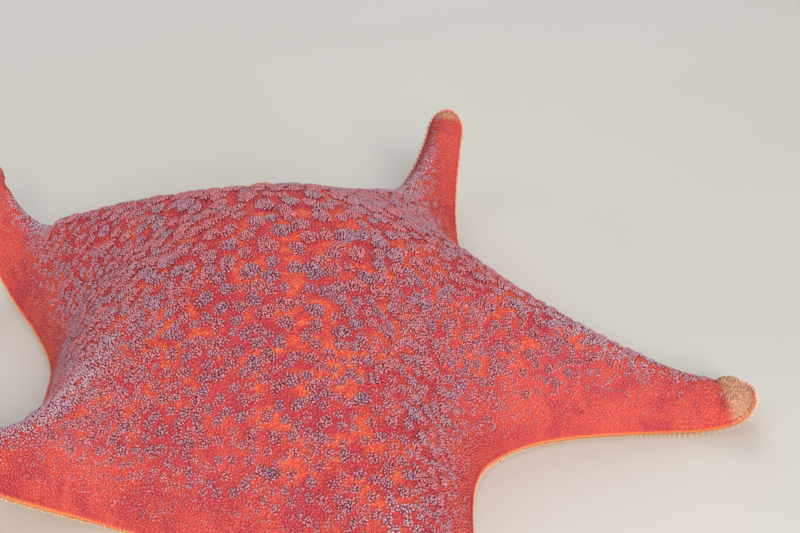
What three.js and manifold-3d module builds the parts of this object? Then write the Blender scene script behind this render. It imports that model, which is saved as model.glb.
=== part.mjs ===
// Bat star (Patiria miniata), a webbed five-armed sea star, as a still life-size model.
// It lies on a flat floor with its arm tips curled up. Millimetres, +Z up.
//
// The star is first laid out as a regular star. On each arm s runs from the mouth to the
// arm's tip, w runs across the arm and z is the height. Every form is made there and then
// posed: the arms turn, stretch and curl up. Last, thin cuts part the disc, arms and tips.

import * as THREE from 'three';
import { mergeVertices } from 'three/addons/utils/BufferGeometryUtils.js';
import Module from 'manifold-3d';

const wasm = await Module();
wasm.setup();
const { Manifold } = wasm;
const { clamp, degToRad, euclideanModulo, lerp, seededRandom, smoothstep } = THREE.MathUtils;

// The regular star
const REACH = 75;
const NOTCH = 43;
const TIP_HALF_WIDTH = 4.6;
const TIP_LENGTH = 4.2;
const WEB_HANDLE = 22;
const SECTOR = Math.PI / 5;

// The arms, anticlockwise from the right. yaw is the arm's direction in degrees, reach its
// length and tipWidth the scale of its end. Past curlFrom it bends up round an axis that lies
// at curlHeight over the floor. Each arm has its own thickness, and the web after it a stretch.
const ARMS = [
  { name: 'right', yaw: -9.3, reach: 70, tipWidth: 1.35, curlFrom: 65, curlHeight: 23.5 },
  { name: 'back', yaw: 66.9, reach: 73, tipWidth: 0.78, curlFrom: 43.5, curlHeight: 31 },
  { name: 'left_back', yaw: 147.4, reach: 73.3, tipWidth: 0.74, curlFrom: 48, curlHeight: 20.4 },
  { name: 'left_front', yaw: 224, reach: 60, tipWidth: 1, curlFrom: 40.5, curlHeight: 43 },
  { name: 'front', yaw: 291.5, reach: 76, tipWidth: 1, curlFrom: 60, curlHeight: 22 },
];
const WEB_STRETCH = [0.93, 0.99, 0.83, 0.99, 0.89];
const THICKNESS = [1, 1, 1.22, 1, 1];
const CURL_NEUTRAL = 5;
const POSE_RADIUS = 30;
const NARROW = { from: 42, to: 70 };

// The mouth's place in the frame, whose origin is the middle of the footprint
const MOUTH = new THREE.Vector3(-6.51, 3.83, 0);

// Heights over the floor
const RIM_TOP = 1.8;
const RIM_LOW = 0.7;
const DOME_RISE = 23.2;
const DOME_RUN = 11.8;
const DOME_POWER = 1.1;
const HUMP = { rise: 9.7, radius: 21.5 };
const TIP_DROP = { share: 0.15, from: 48, to: 72 };
const TIP_BULB = { rise: 1.5, distance: 75, radius: 3.2, edge: 0.7 };

// The body's mesh: rings from the middle out over the top, then back in underneath
const OUTLINE_STEPS = { side: 7, tip: 6 };
const FINE_STEPS = { side: 40, tip: 16 };
const TOP_RINGS = 14;
const RING_POWER = 1.5;
const UNDER_SHARES = [0.972, 0.93, 0.87, 0.8, 0.72, 0.62, 0.48, 0.28, 0];
const BODY_TOLERANCE = 0.12;
const FINAL_TOLERANCE = 0.04;

// Thin cuts between the nodes
const CUT = 0.3;
const DISC_CUT = { s: 36, width: 56, height: 28, segments: 5 };
const TIP_CUT = { s: 60, width: 26, height: 14, segments: 2 };
const CUT_BELOW = 3;

// Raised plates that carry the granules of the upper side
const PLATE_PITCH = { middle: 6.8, tip: 4.9 };
const PLATE_RADIUS = { middle: 1.35, edge: 0.8 };
const PLATE_TOP = 0.7;
const PLATE_WIDTH = 1.2;
const PLATE_PROUD = 0.75;
const PLATE_ROOT = 0.9;
const PLATE_SIDES = 5;
const PLATE_MARGIN = 2.4;
const PLATE_FULL_DEPTH = 13;
const PLATE_JITTER = 0.18;

// Underside: mouth, jaws, grooves and tube feet
const MOUTH_RADIUS = 6;
const MOUTH_DEPTH = 4.2;
const JAW = { length: 6.2, root: 1.7, point: 0.6, height: 2, from: 7.6, sides: 5 };
const GROOVE = { from: 4, to: 72, middle: 2.7, tip: 1.1, sides: 6, segments: 12 };
const FOOT = { from: 9.5, to: 69, sides: 5, share: 0.27, offset: 0.45, lift: 0.3, root: 0.8, taper: 0.85 };
const FOOT_PITCH = { middle: 6.6, tip: 5 };

// Madreporite: the sieve plate near the middle, in the web between the back arms
const SIEVE = { arm: 1, distance: 13, radius: 2.1, proud: 0.7, depth: 1.2, sides: 12, crown: 0.75 };

seededRandom(41);

// Unit step along the middle of the web that follows an arm
const webAxis = new THREE.Vector2(Math.cos(SECTOR), Math.sin(SECTOR));
const sievePoint = webAxis.clone().multiplyScalar(SIEVE.distance);

// Outline of the regular star

const notchPoint = webAxis.clone().multiplyScalar(NOTCH);
const capPoint = new THREE.Vector2(REACH - TIP_LENGTH, TIP_HALF_WIDTH);
const webPoint = new THREE.Vector2(Math.sin(SECTOR), -Math.cos(SECTOR));
webPoint.multiplyScalar(WEB_HANDLE).add(notchPoint);
const armSide = new THREE.QuadraticBezierCurve(capPoint, webPoint, notchPoint);
const armCap = new THREE.EllipseCurve(
  capPoint.x, 0, TIP_LENGTH, TIP_HALF_WIDTH, -Math.PI / 2, Math.PI / 2,
);

// The outline's points, anticlockwise, each arm from the web before it to the web after it
function starOutline(steps) {
  const after = armSide.getPoints(steps.side).slice(1);
  const before = after.map((point) => new THREE.Vector2(point.x, -point.y)).reverse();
  const arm = [...before, ...armCap.getPoints(steps.tip), ...after.slice(0, -1)];
  const middle = new THREE.Vector2();
  const turned = (k) => arm.map((point) => point.clone().rotateAround(middle, 2 * SECTOR * k));
  return ARMS.flatMap((_, k) => turned(k));
}

const fineOutline = starOutline(FINE_STEPS);
const rimSteps = fineOutline.map((point, i) => {
  const next = fineOutline[(i + 1) % fineOutline.length];
  return { x: (point.x + next.x) / 2, y: (point.y + next.y) / 2, length: point.distanceTo(next) };
});

// Half the width of the regular arm at s
function halfWidth(s) {
  if (s > capPoint.x) {
    return TIP_HALF_WIDTH * Math.sqrt(Math.max(1 - ((s - capPoint.x) / TIP_LENGTH) ** 2, 0));
  }
  if (s < notchPoint.x) {
    return s * Math.tan(SECTOR);
  }
  const a = capPoint.x - 2 * webPoint.x + notchPoint.x;
  const b = 2 * (webPoint.x - capPoint.x);
  const c = capPoint.x - s;
  return armSide.getPoint((-b - Math.sqrt(b * b - 4 * a * c)) / (2 * a)).y;
}

// How far inside the outline a point lies, smoothed: beside a straight rim it is the distance
function depthInside(x, y) {
  let closeness = 0;
  for (const step of rimSteps) {
    closeness += step.length / Math.hypot(x - step.x, y - step.y) ** 3;
  }
  return Math.sqrt(2 / closeness);
}

// Height of the upper side
function topHeight(x, y) {
  const distance = Math.hypot(x, y);
  const depth = depthInside(x, y);
  const dome = 1 - Math.exp(-((depth / DOME_RUN) ** DOME_POWER));
  const hump = HUMP.rise * Math.exp(-((distance / HUMP.radius) ** 2));
  const drop = TIP_DROP.share * smoothstep(distance, TIP_DROP.from, TIP_DROP.to);
  const insideEdge = 1 - Math.exp(-((depth / TIP_BULB.edge) ** 2));
  const bulb = TIP_BULB.rise * Math.exp(-(((distance - TIP_BULB.distance) / TIP_BULB.radius) ** 2));
  return RIM_TOP + dome * (DOME_RISE * (1 - drop) + hump) + insideEdge * bulb;
}

// Value at s of a size that changes evenly from the mouth to the arm's tip
function along(size, s) {
  return lerp(size.middle, size.tip, clamp(s / REACH, 0, 1));
}

// Pose

const armTurns = ARMS.map((arm, k) => {
  const turn = degToRad(arm.yaw) - 2 * SECTOR * k;
  return Math.atan2(Math.sin(turn), Math.cos(turn));
});
const stretches = ARMS.flatMap((arm, k) => [arm.reach / REACH, WEB_STRETCH[k]]);
const thicknesses = THICKNESS.flatMap((thickness) => [thickness, 1]);

// Value between knots that are spread evenly round the star
function blendAround(knots, angle) {
  const place = (angle / (2 * Math.PI)) * knots.length;
  const first = Math.floor(place);
  const share = 0.5 - 0.5 * Math.cos(Math.PI * (place - first));
  const knotAt = (i) => knots[euclideanModulo(i, knots.length)];
  return lerp(knotAt(first), knotAt(first + 1), share);
}

// How fully a point at this distance from the mouth takes part in the pose
function holdAt(distance) {
  return 1 - Math.exp(-((distance / POSE_RADIUS) ** 2));
}

// Moves a point from its layout (s, w, z) on arm k to its place in the posed star
function posePoint(point, k) {
  const arm = ARMS[k];
  const laidOutAngle = Math.atan2(point.y, point.x) + 2 * SECTOR * k;
  const laidOutHold = holdAt(Math.hypot(point.x, point.y));
  let s = point.x;
  let z = point.z * lerp(1, blendAround(thicknesses, laidOutAngle), laidOutHold);
  const w = point.y * lerp(1, arm.tipWidth, smoothstep(s, NARROW.from, NARROW.to));
  if (s > arm.curlFrom) {
    const bend = (s - arm.curlFrom) / (arm.curlHeight - CURL_NEUTRAL);
    const radius = arm.curlHeight - z;
    s = arm.curlFrom + radius * Math.sin(bend);
    z = arm.curlHeight - radius * Math.cos(bend);
  }
  const distance = Math.hypot(s, w);
  const angle = Math.atan2(w, s) + 2 * SECTOR * k;
  const hold = holdAt(distance);
  const posedAngle = angle + hold * blendAround(armTurns, angle);
  const posedDistance = distance * lerp(1, blendAround(stretches, angle), hold);
  point.set(posedDistance * Math.cos(posedAngle), posedDistance * Math.sin(posedAngle), z);
  return point.add(MOUTH);
}

// Poses every vertex of a geometry that was laid out on arm k
function poseGeometry(geometry, k) {
  const position = geometry.attributes.position;
  const point = new THREE.Vector3();
  for (let i = 0; i < position.count; i += 1) {
    posePoint(point.fromBufferAttribute(position, i), k);
    position.setXYZ(i, point.x, point.y, point.z);
  }
  return geometry;
}

// Frame on the posed upper side at (s, w) of arm k: x along the arm, z out of the surface
function surfaceFrame(s, w, k) {
  const step = 0.2;
  const at = (ds, dw) => posePoint(new THREE.Vector3(s + ds, w + dw, topHeight(s + ds, w + dw)), k);
  const origin = at(0, 0);
  const lengthwise = at(step, 0).sub(origin).normalize();
  const outward = lengthwise.clone().cross(at(0, step).sub(origin)).normalize();
  const across = outward.clone().cross(lengthwise);
  return new THREE.Matrix4().makeBasis(lengthwise, across, outward).setPosition(origin);
}

// Solids

function solidFrom(geometry) {
  geometry.deleteAttribute('normal');
  geometry.deleteAttribute('uv');
  const merged = mergeVertices(geometry);
  return new Manifold(new wasm.Mesh({
    numProp: 3,
    vertProperties: merged.attributes.position.array,
    triVerts: new Uint32Array(merged.index.array),
  }));
}

function geometryFrom(solid) {
  const mesh = solid.getMesh();
  const geometry = new THREE.BufferGeometry();
  geometry.setAttribute('position', new THREE.BufferAttribute(mesh.vertProperties, 3));
  geometry.setIndex(new THREE.BufferAttribute(mesh.triVerts, 1));
  geometry.computeVertexNormals();
  return geometry;
}

// The whole body: a sphere's rings laid out over the star's top and back under it
function bodySolid() {
  const rim = starOutline(OUTLINE_STEPS);
  const shareOfRing = (_, ring) => 1 - (1 - ring / TOP_RINGS) ** RING_POWER;
  const shares = [...Array.from({ length: TOP_RINGS + 1 }, shareOfRing), 1, ...UNDER_SHARES];
  const geometry = new THREE.SphereGeometry(1, rim.length, shares.length - 1);
  const position = geometry.attributes.position;
  const point = new THREE.Vector3();
  for (let i = 0; i < position.count; i += 1) {
    const ring = Math.floor(i / (rim.length + 1));
    const column = (i % (rim.length + 1)) % rim.length;
    const spot = rim[column].clone().multiplyScalar(shares[ring]);
    const k = Math.round(spot.angle() / (2 * SECTOR)) % ARMS.length;
    spot.rotateAround(new THREE.Vector2(), -2 * SECTOR * k);
    point.set(spot.x, spot.y, 0);
    if (ring <= TOP_RINGS) {
      point.z = topHeight(spot.x, spot.y);
    } else if (ring === TOP_RINGS + 1) {
      point.z = RIM_LOW;
    }
    posePoint(point, k);
    position.setXYZ(i, point.x, point.y, point.z);
  }
  return solidFrom(geometry).simplify(BODY_TOLERANCE);
}

// True where a form of this radius at s stays clear of the cuts
function clearOfCuts(s, radius) {
  return [DISC_CUT.s, TIP_CUT.s].every((cut) => Math.abs(s - cut) > radius + CUT);
}

// One raised plate, its root sunk into the body
function plateSolid(s, w, k) {
  const fullness = clamp(depthInside(s, w) / PLATE_FULL_DEPTH, 0, 1);
  const radius = lerp(PLATE_RADIUS.edge, PLATE_RADIUS.middle, fullness);
  const height = PLATE_PROUD + PLATE_ROOT;
  const geometry = new THREE.CylinderGeometry(radius * PLATE_TOP, radius, height, PLATE_SIDES);
  geometry.rotateX(Math.PI / 2);
  geometry.rotateZ(seededRandom() * Math.PI);
  geometry.scale(1, PLATE_WIDTH, 1);
  geometry.translate(0, 0, height / 2 - PLATE_ROOT);
  return solidFrom(geometry.applyMatrix4(surfaceFrame(s, w, k)));
}

// True where a plate may grow: inside the arm's own sector and the outline, clear of the cuts
function platePlaceIsGood(s, w, k, pitch) {
  const inSector = Math.abs(w) < s * Math.tan(SECTOR) - pitch / 3;
  const inOutline = Math.abs(w) < halfWidth(s) && depthInside(s, w) > PLATE_MARGIN;
  const clearOfSieve = k !== SIEVE.arm || sievePoint.distanceTo(new THREE.Vector2(s, w)) > pitch;
  return inSector && inOutline && clearOfSieve && clearOfCuts(s, PLATE_RADIUS.middle);
}

// Plates in staggered rows over one arm and its share of the disc
function platesOfArm(k) {
  const plates = [];
  let s = PLATE_PITCH.middle / 2;
  for (let row = 0; s < REACH - PLATE_MARGIN; row += 1) {
    const pitch = along(PLATE_PITCH, s);
    const shift = () => (seededRandom() - 0.5) * 2 * PLATE_JITTER * pitch;
    const columns = Math.ceil((s * Math.tan(SECTOR)) / pitch);
    for (let column = -columns; column <= columns; column += 1) {
      const plateS = s + shift();
      const plateW = (column + (row % 2) / 2) * pitch + shift();
      if (platePlaceIsGood(plateS, plateW, k, pitch)) {
        plates.push(plateSolid(plateS, plateW, k));
      }
    }
    s += pitch * Math.cos(Math.PI / 6);
  }
  return plates;
}

// Hollow of the mouth
function mouthSolid() {
  const geometry = new THREE.SphereGeometry(MOUTH_RADIUS, 20, 10);
  geometry.rotateX(Math.PI / 2);
  geometry.scale(1, 1, MOUTH_DEPTH / MOUTH_RADIUS);
  return solidFrom(poseGeometry(geometry, 0));
}

// One jaw, in the web after arm k: a blunt wedge from the mouth's wall towards its middle
function jawSolid(k) {
  const geometry = new THREE.CylinderGeometry(JAW.point, JAW.root, JAW.length, JAW.sides);
  geometry.rotateZ(Math.PI / 2);
  geometry.translate(JAW.from - JAW.length / 2, 0, JAW.height);
  geometry.rotateZ(SECTOR);
  return solidFrom(poseGeometry(geometry, k));
}

// The groove along the underside of arm k
function grooveSolid(k) {
  const length = GROOVE.to - GROOVE.from;
  const geometry = new THREE.CylinderGeometry(
    GROOVE.tip, GROOVE.middle, length, GROOVE.sides, GROOVE.segments,
  );
  geometry.rotateZ(-Math.PI / 2);
  geometry.translate((GROOVE.from + GROOVE.to) / 2, 0, 0);
  return solidFrom(poseGeometry(geometry, k));
}

// One tube foot, hanging from the groove's roof at s
function footSolid(s, side, k) {
  const groove = along(GROOVE, s);
  const radius = groove * FOOT.share;
  const offset = groove * FOOT.offset;
  const roof = Math.sqrt(groove * groove - offset * offset);
  const height = roof + FOOT.root - FOOT.lift;
  const geometry = new THREE.CylinderGeometry(radius * FOOT.taper, radius, height, FOOT.sides);
  geometry.rotateX(Math.PI / 2);
  geometry.translate(s, side * offset, FOOT.lift + height / 2);
  return solidFrom(poseGeometry(geometry, k));
}

// Two staggered rows of tube feet along the groove of arm k
function feetOfArm(k) {
  const feet = [];
  for (const side of [-1, 1]) {
    let s = FOOT.from + (side * FOOT_PITCH.middle) / 4;
    while (s < FOOT.to) {
      if (clearOfCuts(s, GROOVE.middle * FOOT.share)) {
        feet.push(footSolid(s, side, k));
      }
      s += along(FOOT_PITCH, s);
    }
  }
  return feet;
}

// A thin slab across arm k that parts two nodes
function cutSolid(cut, k) {
  const height = cut.height + CUT_BELOW;
  const geometry = new THREE.BoxGeometry(CUT, cut.width, height, 1, cut.segments, 1);
  geometry.translate(cut.s, 0, height / 2 - CUT_BELOW);
  return solidFrom(poseGeometry(geometry, k));
}

// A round button in the surface over the sieve's place, between two heights over the surface
function sieveSolid(radius, crown, from, to) {
  const geometry = new THREE.CylinderGeometry(radius * crown, radius, to - from, SIEVE.sides);
  geometry.rotateX(Math.PI / 2);
  geometry.translate(0, 0, (from + to) / 2);
  return solidFrom(geometry.applyMatrix4(surfaceFrame(sievePoint.x, sievePoint.y, SIEVE.arm)));
}

// Nodes

// The whole star in one solid, before it is parted
function wholeStar() {
  const arms = ARMS.map((_, k) => k);
  const body = Manifold.union([bodySolid(), ...arms.flatMap(platesOfArm)]);
  const socket = sieveSolid(SIEVE.radius + CUT, 1, -SIEVE.depth - CUT, SIEVE.proud + PLATE_PROUD);
  const hollows = Manifold.union([mouthSolid(), socket, ...arms.map(grooveSolid)]);
  const growths = [...arms.map(jawSolid), ...arms.flatMap(feetOfArm)];
  return Manifold.union([body.subtract(hollows), ...growths]);
}

// The parts that the cuts leave, each found by a place inside it
function partStar() {
  const cuts = ARMS.flatMap((_, k) => [cutSolid(DISC_CUT, k), cutSolid(TIP_CUT, k)]);
  const parted = wholeStar().subtract(Manifold.union(cuts));
  const pieces = parted.simplify(FINAL_TOLERANCE).decompose();
  const centreOf = (piece) => {
    const box = piece.boundingBox();
    return new THREE.Vector3(...box.min).lerp(new THREE.Vector3(...box.max), 0.5);
  };
  pieces.sort((one, other) => other.volume() - one.volume());
  const bodies = pieces.slice(0, 1 + 2 * ARMS.length);
  return (s, k) => {
    const place = posePoint(new THREE.Vector3(s, 0, 0), k);
    const distance = (piece) => centreOf(piece).setZ(0).distanceTo(place.setZ(0));
    return bodies.reduce((best, piece) => (distance(piece) < distance(best) ? piece : best));
  };
}

function addMesh(group, name, solid, color, roughness) {
  const material = new THREE.MeshStandardMaterial({ color, roughness, metalness: 0, flatShading: true });
  const mesh = new THREE.Mesh(geometryFrom(solid), material);
  mesh.name = name;
  group.add(mesh);
}

const star = new THREE.Group();
const partAt = partStar();
addMesh(star, 'disc', partAt(0, 0), 0xb8434a, 0.55);
ARMS.forEach((arm, k) => {
  addMesh(star, `arm_${arm.name}`, partAt((DISC_CUT.s + TIP_CUT.s) / 2, k), 0xc8433a, 0.55);
  addMesh(star, `tip_${arm.name}`, partAt((TIP_CUT.s + REACH) / 2, k), 0xe0a070, 0.6);
});
const sieve = sieveSolid(SIEVE.radius, SIEVE.crown, -SIEVE.depth, SIEVE.proud);
addMesh(star, 'madreporite', sieve, 0x8a5a78, 0.5);

export default star;
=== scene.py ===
"""Looks of a life-size bat star: one skin over the whole body, tufts of granules, a fringe
along the rim, the furrowed underside with its tube feet, the sieve plate, light and camera.

The star is laid out as in its solids, in millimetres: on each arm s runs from the mouth to the
arm's tip and w across the arm, and pose() takes a laid-out point to its place.
"""
import math

import bpy
import numpy as np
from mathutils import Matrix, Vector, kdtree


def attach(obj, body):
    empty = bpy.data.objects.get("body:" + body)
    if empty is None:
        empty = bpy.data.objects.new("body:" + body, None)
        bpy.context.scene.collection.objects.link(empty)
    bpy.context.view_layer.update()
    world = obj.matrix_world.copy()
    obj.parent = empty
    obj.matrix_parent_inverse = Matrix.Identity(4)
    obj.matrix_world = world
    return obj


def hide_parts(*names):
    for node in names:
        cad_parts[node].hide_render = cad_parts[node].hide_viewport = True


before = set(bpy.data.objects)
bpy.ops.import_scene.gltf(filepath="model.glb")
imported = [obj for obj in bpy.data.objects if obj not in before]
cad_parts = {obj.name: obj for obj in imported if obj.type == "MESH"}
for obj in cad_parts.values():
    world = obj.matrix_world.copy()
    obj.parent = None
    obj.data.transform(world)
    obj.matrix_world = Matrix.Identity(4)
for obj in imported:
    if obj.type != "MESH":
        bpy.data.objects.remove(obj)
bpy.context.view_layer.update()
rng = np.random.default_rng(41)

# The regular star, in millimetres
MM = 0.001
ARM_NAMES = ["right", "back", "left_back", "left_front", "front"]
ARM_COUNT = len(ARM_NAMES)
SECTOR = math.pi / ARM_COUNT
REACH = 75.0
NOTCH = 43.0
TIP_HALF_WIDTH = 4.6
TIP_LENGTH = 4.2
WEB_HANDLE = 22.0
MOUTH = np.array([-6.51, 3.83, 0.0])

# The arms anticlockwise from the right, each with the web that follows it: the direction, the
# reach, how wide the tip stays, where it starts to curl and the height of the curl's centre
YAW = [-9.3, 66.9, 147.4, 224.0, 291.5]
ARM_REACH = [70.0, 73.0, 73.3, 60.0, 76.0]
TIP_WIDTH = [1.35, 0.78, 0.74, 1.0, 1.0]
CURL_FROM = [65.0, 43.5, 48.0, 40.5, 60.0]
CURL_HEIGHT = [23.5, 31.0, 20.4, 43.0, 22.0]
WEB_STRETCH = [0.93, 0.99, 0.83, 0.99, 0.89]
THICKNESS = [1.0, 1.0, 1.22, 1.0, 1.0]

# How the pose sets in: the height that a curl neither stretches nor shortens, the distance
# from the mouth at which arms turn and stretch, and the stretch in which they narrow
CURL_NEUTRAL = 5.0
POSE_RADIUS = 30.0
NARROW = (42.0, 70.0)

# Markings of each arm: where its pale tip starts and how that slants, its lavender crest, and
# the depth inside the rim over which the colours of the middle set in
PALE_FROM = [70.9, 74.0, 73.0, 72.0, 72.0]
PALE_SLANT = [0.3, 0.0, 0.0, 0.0, 0.0]
CREST_ASIDE = [0.0, 0.0, 0.0, 0.0, -1.0]
CREST_HALF_WIDTH = 3.0
CREST_FROM = [(24.0, 46.0), (24.0, 46.0), (36.0, 56.0), (20.0, 46.0), (42.0, 52.0)]
COLOUR_MARGIN = (3.0, 9.0)

# Height over the floor: as the solids, with a crease behind the bulb of the tip as well
RIM_TOP = 1.8
DOME_RISE = 23.2
DOME_RUN = 11.8
DOME_POWER = 1.1
HUMP = (9.7, 21.5)
TIP_DROP = (0.15, 48.0, 72.0)
TIP_BULB = (1.5, 75.0, 3.2)
TIP_CREASE = (0.5, 70.1, 0.8)
TIP_EDGE = 0.7

# Skin: how deep it lies in the solids, its rim's cross-section as (inset, height), its mesh
COAT_DEPTH = 0.4
RIM_SECTION = [(0.14, 1.3), (0.2, 0.95), (0.45, 0.62)]
UNDER_LAYER = len(RIM_SECTION)
UNDER_HEIGHT = 0.4
RIM_ROUND = 1.2
INNER_ROWS = 58
OUTER_ROWS = 60
CAP_ROWS = 12
TOP_COLUMNS = 112
GROOVE_COLUMNS = 7
UNDER_COLUMNS = 13

# Mouth and grooves of the underside
MOUTH_RADIUS = 6.2
MOUTH_DEPTH = 4.3
GROOVE_RADIUS = (3.0, 1.4)
GROOVE_END = (69.0, 73.5)

# Sieve plate, on the web that follows an arm
SIEVE_ARM = 1
SIEVE_DISTANCE = 13.0
SIEVE_PLACE = (SIEVE_DISTANCE * math.cos(SECTOR), SIEVE_DISTANCE * math.sin(SECTOR))
SIEVE_RADIUS = 2.1
SIEVE_PROUD = 0.7
SIEVE_FURROWS = 22

# Random places tried on each square millimetre, and the room kept clear round the sieve plate
TRIED = {"tufts": 6, "grains": 28, "combs": 4}
SIEVE_ROOM = {"tufts": 1.3, "grains": 0.2}

# Tufts of granules: their spacing, where it changes from the middle outwards, the radius as a
# share of it, how both shrink in the margin, how lobed they are, and the radii over which
# they turn mauve, shade the skin and stand at full height
TUFT_SPACING = {"middle": 2.35, "arm": 1.55, "tip": 1.15}
TUFT_ZONES = (10.0, 36.0, 68.0)
TUFT_VARIETY = 0.15
TUFT_SHARE = 0.47
CREST_SHARE = 0.54
TUFT_MARGIN = (1.2, 6.0)
MARGIN_SPACING = 0.65
MARGIN_RADIUS = 0.75
TUFT_LOBES = (0.16, 0.12)
TUFT_MAUVE = (0.25, 0.75)
TUFT_SHADE = (0.4, 0.8)
TUFT_FULL = (0.3, 1.1)

# The granules that make up the tufts
GRANULE_PITCH = 0.34
GRANULE_RADIUS = 0.46 * GRANULE_PITCH
GRANULE_JITTER = 0.04
GRANULE_HEIGHT = (0.3, 0.5)
GRANULE_SPLAY = 0.45
GOLDEN_ANGLE = math.pi * (3 - math.sqrt(5))
MOUND_HEIGHT = 0.22

# Single grains on the skin between the tufts and along the margin
GRAIN_SPACING = {"margin": 0.4, "open": 0.52}
GRAIN_EDGE = 0.35
GRAIN_MARGIN = (6.0, 10.0)
GRAIN_SHARE = 0.44
GRAIN_HEIGHT = (0.14, 0.24)

# A tuft piece and a grain piece for the inner and for the outer stretch of each arm
COAT_PIECES = [("inner", -math.inf, 27.0), ("outer", 27.0, math.inf)]
HALF_SPAN = 27.0

# Maps: width of a small piece's patch, room round the skin's plan, push of the rim's layers
PATCH = 0.003
MAP_MARGIN = 2.5
RIM_MAP_STEP = 0.4

# Fringe along the rim: a fan's spinelets as (rise, sweep to the side, height of the root)
FRINGE_PITCH = 0.75
FRINGE_LENGTH = (0.35, 0.75)
FRINGE_RADIUS = (0.07, 0.1)
FRINGE_FAN = [
    (0.7, -0.6, 1.4), (0.7, 0.6, 1.4),
    (0.1, -1.0, 1.05), (0.1, 0.0, 1.05), (0.1, 1.0, 1.05),
    (-0.35, -0.6, 0.75), (-0.35, 0.6, 0.75),
]

# Underside: combs, rows of furrow spines as (distance behind the edge, spines in a fan, lean,
# drop), tube feet with their place and radius as shares of the groove's radius, the jaws with
# their spines as (sweep, drop, length, radius), and the eyespots under the tips
COMB_SPACING = 2.0
COMB_ROOM = {"groove": 1.7, "rim": 0.9, "mouth": 1.5}
COMB_TEETH = 5
COMB_HALF_WIDTH = 0.55
COMB_DROP = -0.34
FURROW_STRETCH = (7.0, 71.5)
FURROW_PITCH = 1.25
FURROW_FAN = 0.42
FURROW_ROOT = 0.5
FURROW_ROWS = [(0.1, 4, -1.0, -0.2), (0.75, 3, 0.6, -0.12)]
FOOT_STRETCH = (8.0, 69.0)
FOOT_PITCH = (1.9, 1.3)
FOOT_ASIDE = 0.42
FOOT_RADIUS = 0.21
FOOT_CLEARANCE = 0.35
JAW_ROOT = 7.6
JAW_LENGTH = 6.0
JAW_HEIGHT = 2.0
JAW_SPINES = [
    (-1.0, 0.3, 1.6, 0.2), (-0.6, 0.5, 1.9, 0.22), (-0.2, 0.6, 2.1, 0.24),
    (0.2, 0.6, 2.1, 0.24), (0.6, 0.5, 1.9, 0.22), (1.0, 0.3, 1.6, 0.2),
]
EYESPOT = {"inset": 0.9, "height": 1.0, "radius": 0.45, "length": 0.5}


def smooth(value, low, high):
    share = np.clip((value - low) / (high - low), 0.0, 1.0)
    return share * share * (3.0 - 2.0 * share)


def lerp(low, high, share):
    return low + (high - low) * share


def unit(vectors):
    return vectors / np.maximum(np.linalg.norm(vectors, axis=-1, keepdims=True), 1e-9)


# Outline of the regular star

WEB_AXIS = np.array([math.cos(SECTOR), math.sin(SECTOR)])
NOTCH_POINT = NOTCH * WEB_AXIS
CAP_POINT = np.array([REACH - TIP_LENGTH, TIP_HALF_WIDTH])
WEB_POINT = NOTCH_POINT + WEB_HANDLE * np.array([math.sin(SECTOR), -math.cos(SECTOR)])


def from_arm(s, w, arm):
    """Plan of the regular star for (s, w) of an arm."""
    cos, sin = np.cos(2 * SECTOR * arm), np.sin(2 * SECTOR * arm)
    return s * cos - w * sin, s * sin + w * cos


def to_arm(x, y):
    """The arm that each place of the plan belongs to, with its (s, w)."""
    arm = np.round(np.arctan2(y, x) / (2 * SECTOR)).astype(int) % ARM_COUNT
    s, w = from_arm(x, y, -arm)
    return s, w, arm


def half_width(s):
    """Half the width of the regular arm at s."""
    cap = TIP_HALF_WIDTH * np.sqrt(np.clip(1 - ((s - CAP_POINT[0]) / TIP_LENGTH) ** 2, 0, 1))
    a = CAP_POINT - 2 * WEB_POINT + NOTCH_POINT
    b = 2 * (WEB_POINT - CAP_POINT)
    root = np.sqrt(np.maximum(b[0] ** 2 - 4 * a[0] * (CAP_POINT[0] - s), 0))
    t = (-b[0] - root) / (2 * a[0])
    side = a[1] * t * t + b[1] * t + CAP_POINT[1]
    beyond_notch = np.where(s > CAP_POINT[0], cap, side)
    return np.where(s < NOTCH_POINT[0], s * math.tan(SECTOR), beyond_notch)


def arm_outline(side_steps, tip_steps):
    """One arm's rim in order, from the web before it to just before the web after it."""
    t = np.linspace(0.0, 1.0, side_steps + 1)[1:, None]
    after = (1 - t) ** 2 * CAP_POINT + 2 * t * (1 - t) * WEB_POINT + t * t * NOTCH_POINT
    turn = np.linspace(-math.pi / 2, math.pi / 2, tip_steps + 1)
    cap = np.stack([CAP_POINT[0] + TIP_LENGTH * np.cos(turn), TIP_HALF_WIDTH * np.sin(turn)], 1)
    return np.concatenate([after[::-1] * [1, -1], cap, after[:-1]])


# Depth inside the outline, smoothed, and negative outside, on a fine grid of one arm's layout

GRID_STEP = 0.5
GRID_S = np.arange(-2.0, REACH + 2.5, GRID_STEP)
GRID_W = np.arange(-50.0, 50.5, GRID_STEP)


def depth_grid():
    arm = arm_outline(300, 100)
    rim = np.concatenate([np.stack(from_arm(*arm.T, k), 1) for k in range(ARM_COUNT)])
    following = np.roll(rim, -1, axis=0)
    middle = (rim + following) / 2
    length = np.linalg.norm(following - rim, axis=1)
    rows = []
    for s in GRID_S:
        away = np.hypot(s - middle[:, 0], GRID_W[:, None] - middle[:, 1])
        depth = np.sqrt(2.0 / np.sum(length / np.maximum(away, 0.02) ** 3, axis=1))
        own_s, own_w, _ = to_arm(np.full(len(GRID_W), s), GRID_W)
        on_arm = (np.abs(own_w) < half_width(own_s)) & (own_s < REACH)
        rows.append(np.where(on_arm | (own_s < NOTCH_POINT[0]), depth, -depth))
    return np.array(rows)


DEPTH_GRID = depth_grid()


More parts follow.
